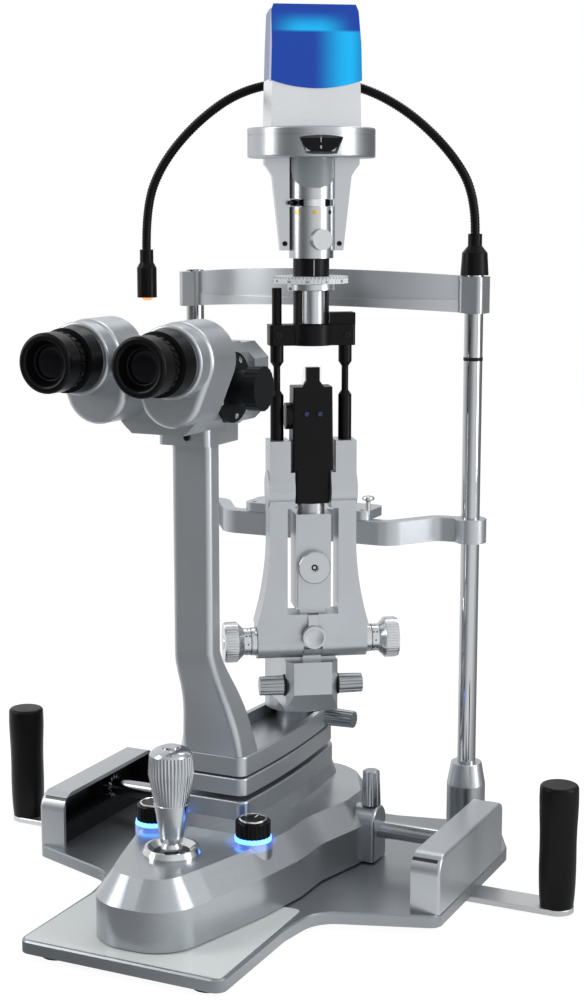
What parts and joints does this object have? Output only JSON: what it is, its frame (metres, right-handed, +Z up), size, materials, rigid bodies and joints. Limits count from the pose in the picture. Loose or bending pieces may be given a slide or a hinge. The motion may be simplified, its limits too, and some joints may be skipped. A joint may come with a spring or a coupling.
{
  "type": "slit lamp",
  "caption": "Tower slit lamp on a base plate with joystick base, binocular microscope, tilting slit illumination tower, chin rest and fixation lamp",
  "frame": {"origin": "on the table, under the middle of the instrument's bounding box", "axes": "X to the examiner's right, Y from the examiner to the patient, Z up"},
  "size_m": [0.5418, 0.4171, 0.7216],
  "materials": {
    "cast_paint": "satin",
    "white_paint": "satin",
    "steel": "satin",
    "chrome": "polished",
    "turned_aluminium": "fine turned",
    "black_metal": "satin",
    "black_plastic": "fine grain",
    "white_plastic": "smooth",
    "blue_plastic": "gloss",
    "black_rubber": "matt",
    "glow_ring": "glowing translucent",
    "red_lens": "polished",
    "mirror_glass": "polished"
  },
  "bodies": {
    "stand": {"base_plate": "turned_aluminium", "slide_pad": "white_plastic", "rubber_feet": "black_rubber", "rail_covers": "cast_paint", "rail_racks": "steel", "grip_bars": "steel", "hand_grips": "black_plastic", "post_sockets": "turned_aluminium", "support_posts": "chrome", "forehead_band": "cast_paint"},
    "chin_rest": {"chin_bar": "cast_paint", "chin_tray": "cast_paint"},
    "chin_ring": {"chin_height_ring": "turned_aluminium"},
    "fixation_arm": {"lamp_holder": "turned_aluminium", "gooseneck": "black_metal", "fixation_lamp_head": "black_metal", "fixation_lens": "red_lens"},
    "carriage": {"guide_shoes": "black_plastic"},
    "axle": {"cross_axle": "chrome"},
    "base": {"xy_base": "cast_paint", "joystick_bezel": "chrome", "dimmer_light_rings": "glow_ring"},
    "clamp_knob": {"axle_clamp_knob": "turned_aluminium"},
    "dimmer_left": {"dimmer_knob_left": "black_plastic"},
    "dimmer_right": {"dimmer_knob_right": "black_plastic"},
    "gimbal": {"gimbal_ring": "steel"},
    "stick": {"joystick_stem": "steel"},
    "grip": {"joystick_grip": "turned_aluminium"},
    "lift_stack": {"spindle": "steel", "lift_block": "cast_paint"},
    "scope": {"scope_arm": "cast_paint", "scope_body": "cast_paint", "objective": "black_metal"},
    "scope_lock": {"scope_lock_knob": "turned_aluminium"},
    "drum": {"magnification_drum": "black_metal"},
    "prism_left": {"prism_housing_left": "cast_paint"},
    "prism_right": {"prism_housing_right": "cast_paint"},
    "ocular_left": {"eyepiece_left": "black_plastic"},
    "ocular_right": {"eyepiece_right": "black_plastic"},
    "lamp_arm": {"illumination_arm": "cast_paint"},
    "arm_lock_left": {"arm_lock_knob_left": "turned_aluminium"},
    "arm_lock_right": {"arm_lock_knob_right": "turned_aluminium"},
    "slit_knobs": {"slit_width_knobs": "turned_aluminium"},
    "tower": {"tower_fork": "cast_paint", "inner_block": "white_paint", "tower_rods": "black_metal", "optic_yoke": "black_metal", "head_flange": "turned_aluminium", "scale_ring": "turned_aluminium"},
    "latch": {"tilt_latch": "steel"},
    "centring": {"centring_knob": "turned_aluminium"},
    "mirror": {"mirror_holder": "black_metal", "slit_mirror": "mirror_glass"},
    "slit_head": {"index_tube": "black_metal", "slit_cylinder": "turned_aluminium", "head_disc": "turned_aluminium", "lamp_house": "white_paint", "lamp_cap": "blue_plastic"},
    "filter": {"filter_ring": "chrome"},
    "aperture": {"aperture_knob": "turned_aluminium"}
  },
  "joints": [
    {"name": "chin_height", "type": "slide", "parent": "stand", "child": "chin_rest", "axis": [0, 0, 1], "range_m": [-0.03, 0.025]},
    {"name": "chin_ring_turn", "type": "hinge", "parent": "chin_rest", "child": "chin_ring", "pos_m": [-0.1351, 0.1916, 0.264], "axis": [0, 0, 1], "range_deg": [-905, 755]},
    {"name": "fixation_swing", "type": "hinge", "parent": "stand", "child": "fixation_arm", "pos_m": [0.1351, 0.1916, 0.53], "axis": [0, 0, 1], "range_deg": [-80, 5]},
    {"name": "carriage_slide", "type": "slide", "parent": "stand", "child": "carriage", "axis": [0, 1, 0], "range_m": [-0.04, 0.02]},
    {"name": "axle_roll", "type": "hinge", "parent": "carriage", "child": "axle", "pos_m": [0, 0.086, 0.0435], "axis": [1, 0, 0], "range_deg": [-135, 262]},
    {"name": "base_slide", "type": "slide", "parent": "carriage", "child": "base", "axis": [1, 0, 0], "range_m": [-0.05, 0.05]},
    {"name": "clamp_turn", "type": "hinge", "parent": "base", "child": "clamp_knob", "pos_m": [0.088, 0.086, 0.075], "axis": [0, 0, 1], "range_deg": [-30, 90]},
    {"name": "dimmer_left_turn", "type": "hinge", "parent": "base", "child": "dimmer_left", "pos_m": [-0.045, -0.0515, 0.08], "axis": [0, 0, 1], "range_deg": [-140, 140]},
    {"name": "dimmer_right_turn", "type": "hinge", "parent": "base", "child": "dimmer_right", "pos_m": [0.045, -0.0515, 0.08], "axis": [0, 0, 1], "range_deg": [-140, 140]},
    {"name": "stick_pitch", "type": "hinge", "parent": "base", "child": "gimbal", "pos_m": [-0.001, -0.1005, 0.06], "axis": [1, 0, 0], "range_deg": [-8, 8]},
    {"name": "stick_roll", "type": "hinge", "parent": "gimbal", "child": "stick", "pos_m": [-0.001, -0.1005, 0.06], "axis": [0, 1, 0], "range_deg": [-8, 8]},
    {"name": "grip_turn", "type": "hinge", "parent": "stick", "child": "grip", "pos_m": [-0.001, -0.1005, 0.12], "axis": [0, 0, 1], "range_deg": [-5, 905]},
    {"name": "lift", "type": "slide", "parent": "base", "child": "lift_stack", "axis": [0, 0, 1], "range_m": [0, 0.03]},
    {"name": "scope_swing", "type": "hinge", "parent": "lift_stack", "child": "scope", "pos_m": [0, 0.1265, 0.123], "axis": [0, 0, 1], "range_deg": [-45, 30]},
    {"name": "scope_lock_turn", "type": "hinge", "parent": "scope", "child": "scope_lock", "pos_m": [0.04, 0.1265, 0.1231], "axis": [1, 0, 0], "range_deg": [-30, 90]},
    {"name": "drum_turn", "type": "hinge", "parent": "scope", "child": "drum", "pos_m": [0, -0.056, 0.43], "axis": [1, 0, 0], "range_deg": [-144, 144]},
    {"name": "prism_right_turn", "type": "hinge", "parent": "scope", "child": "prism_right", "pos_m": [0.016, -0.14, 0.43], "axis": [0, 1, 0], "range_deg": [-15, 6]},
    {"name": "prism_left_turn", "type": "hinge", "parent": "scope", "child": "prism_left", "pos_m": [-0.016, -0.14, 0.43], "axis": [0, 1, 0], "range_deg": [-6.5, 15.5]},
    {"name": "ocular_left_turn", "type": "hinge", "parent": "prism_left", "child": "ocular_left", "pos_m": [-0.0377, -0.18, 0.4575], "axis": [0, 1, 0], "range_deg": [-90, 90]},
    {"name": "ocular_right_turn", "type": "hinge", "parent": "prism_right", "child": "ocular_right", "pos_m": [0.0377, -0.18, 0.4575], "axis": [0, 1, 0], "range_deg": [-90, 90]},
    {"name": "lamp_arm_swing", "type": "hinge", "parent": "lift_stack", "child": "lamp_arm", "pos_m": [0, 0.1265, 0.16], "axis": [0, 0, -1], "range_deg": [-25, 75]},
    {"name": "arm_lock_left_turn", "type": "hinge", "parent": "lamp_arm", "child": "arm_lock_left", "pos_m": [0.01069, 0.04807, 0.168], "axis": [0.829, 0.5592, 0], "range_deg": [-90, 30]},
    {"name": "arm_lock_right_turn", "type": "hinge", "parent": "lamp_arm", "child": "arm_lock_right", "pos_m": [0.06872, 0.08721, 0.168], "axis": [0.829, 0.5592, 0], "range_deg": [-30, 90]},
    {"name": "tower_tilt", "type": "hinge", "parent": "lamp_arm", "child": "tower", "pos_m": [0.03914, 0.06847, 0.2065], "axis": [0.829, 0.5592, 0], "range_deg": [0, 20]},
    {"name": "slit_width_turn", "type": "hinge", "parent": "lamp_arm", "child": "slit_knobs", "pos_m": [0.03914, 0.06847, 0.2065], "axis": [0.829, 0.5592, 0], "range_deg": [-10, 170]},
    {"name": "latch_pull", "type": "hinge", "parent": "tower", "child": "latch", "pos_m": [0.04518, 0.05951, 0.229], "axis": [-0.829, -0.5592, 0], "range_deg": [0, 20], "stiffness_Nm_per_rad": 0.02},
    {"name": "centring_turn", "type": "hinge", "parent": "tower", "child": "centring", "pos_m": [0.04921, 0.05355, 0.272], "axis": [0.5592, -0.829, 0], "range_deg": [-90, 90]},
    {"name": "mirror_swivel", "type": "hinge", "parent": "tower", "child": "mirror", "pos_m": [0.03914, 0.06847, 0.37], "axis": [0, 0, 1], "range_deg": [-3, 3]},
    {"name": "slit_rotate", "type": "hinge", "parent": "tower", "child": "slit_head", "pos_m": [0.03914, 0.06847, 0.52], "axis": [0, 0, 1], "range_deg": [-90, 90]},
    {"name": "filter_turn", "type": "hinge", "parent": "slit_head", "child": "filter", "pos_m": [0.03914, 0.06847, 0.568], "axis": [0, 0, 1], "range_deg": [0, 100]},
    {"name": "aperture_turn", "type": "hinge", "parent": "slit_head", "child": "aperture", "pos_m": [0.05425, 0.05388, 0.539], "axis": [0.7193, -0.6947, 0], "range_deg": [-160, 160]}
  ],
  "couplings": [
    {"joint": "chin_ring_turn", "follows": "chin_height", "rad_per_m": 523.6},
    {"joint": "axle_roll", "follows": "carriage_slide", "rad_per_m": -111.11},
    {"joint": "grip_turn", "follows": "lift", "rad_per_m": 523.6},
    {"joint": "prism_left_turn", "follows": "prism_right_turn", "ratio": -1}
  ]
}
